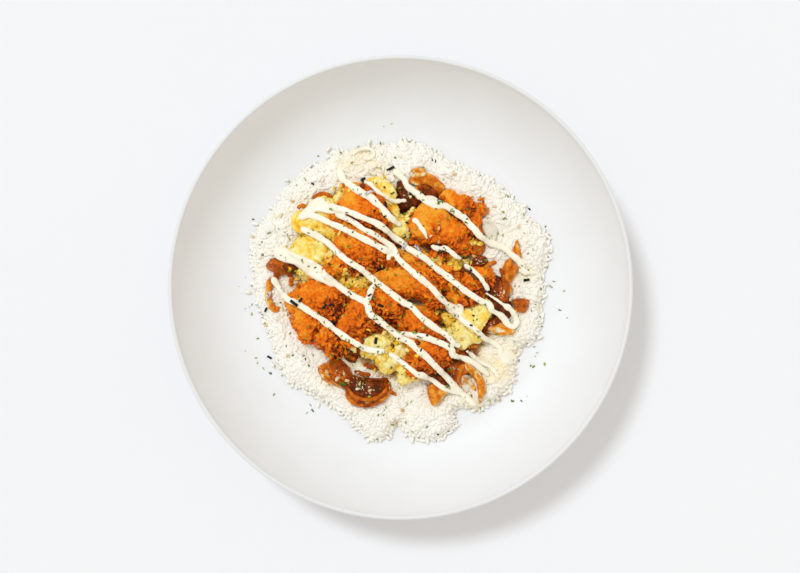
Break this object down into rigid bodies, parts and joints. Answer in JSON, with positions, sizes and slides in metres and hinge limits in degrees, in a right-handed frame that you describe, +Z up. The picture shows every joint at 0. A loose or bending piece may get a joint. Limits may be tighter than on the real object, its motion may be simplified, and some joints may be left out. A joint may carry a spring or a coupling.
{
  "type": "bowl of chicken mayo rice",
  "caption": "Wide shallow white bowl holding a bed of rice topped with fried chicken chunks, scrambled egg, braised onion and a mayonnaise drizzle.",
  "frame": {"origin": "centre of the foot ring on the table, under the middle of the bowl", "axes": "+Z up along the bowl's axis; +Y is towards the top of the picture and +X towards its right"},
  "size_m": [0.28, 0.28, 0.052],
  "materials": {
    "white_glaze": "satin white glaze",
    "rice": "moist cooked rice grains",
    "braised_onion": "translucent onion glossy with soy sauce",
    "scrambled_egg": "soft moist egg curds",
    "fried_chicken": "crisp fried crust with a little oil",
    "mayonnaise": "glossy cream sauce",
    "nori_and_sesame": "dry shredded nori, herb flakes and sesame"
  },
  "bodies": {
    "root": {"bowl": "white_glaze", "chicken_bottom": "fried_chicken", "chicken_bottom_left": "fried_chicken", "chicken_chip_top_right": "fried_chicken", "chicken_left": "fried_chicken", "chicken_long_lower": "fried_chicken", "chicken_long_lower_tip": "fried_chicken", "chicken_long_upper": "fried_chicken", "chicken_lower_left": "fried_chicken", "chicken_lower_strip": "fried_chicken", "chicken_middle": "fried_chicken", "chicken_middle_left": "fried_chicken", "chicken_small_centre": "fried_chicken", "chicken_small_left": "fried_chicken", "chicken_small_middle": "fried_chicken", "chicken_tip_right": "fried_chicken", "chicken_top_left": "fried_chicken", "chicken_top_right": "fried_chicken", "chicken_under_strands": "fried_chicken", "chicken_upper_middle": "fried_chicken", "chicken_upper_right": "fried_chicken", "egg_between_chicken": "scrambled_egg", "egg_bottom_left": "scrambled_egg", "egg_bottom_middle": "scrambled_egg", "egg_bottom_right": "scrambled_egg", "egg_centre_top": "scrambled_egg", "egg_left": "scrambled_egg", "egg_lower_right": "scrambled_egg", "egg_middle_left": "scrambled_egg", "egg_right": "scrambled_egg", "egg_small_left": "scrambled_egg", "egg_small_right": "scrambled_egg", "egg_top": "scrambled_egg", "egg_top_left": "scrambled_egg", "egg_upper_left": "scrambled_egg", "onion_arc_lower_right": "braised_onion", "onion_arc_top": "braised_onion", "onion_corner_right": "braised_onion", "onion_dark_lower_right": "braised_onion", "onion_dark_right": "braised_onion", "onion_dark_top": "braised_onion", "onion_flat_bottom": "braised_onion", "onion_heap_lower_right": "braised_onion", "onion_leaf_right": "braised_onion", "onion_left_heap": "braised_onion", "onion_olive_right": "braised_onion", "onion_pale_right": "braised_onion", "onion_ring_inner": "braised_onion", "onion_ring_outer": "braised_onion", "onion_ring_sauce": "braised_onion", "onion_shell_top": "braised_onion", "onion_square_right": "braised_onion", "onion_strip_dark_bottom": "braised_onion", "onion_strip_dark_right": "braised_onion", "onion_strip_left_hook": "braised_onion", "onion_strip_right": "braised_onion", "onion_strip_upper_left": "braised_onion", "onion_wedge_lower_left": "braised_onion", "rice": "rice"}
  },
  "joints": []
}
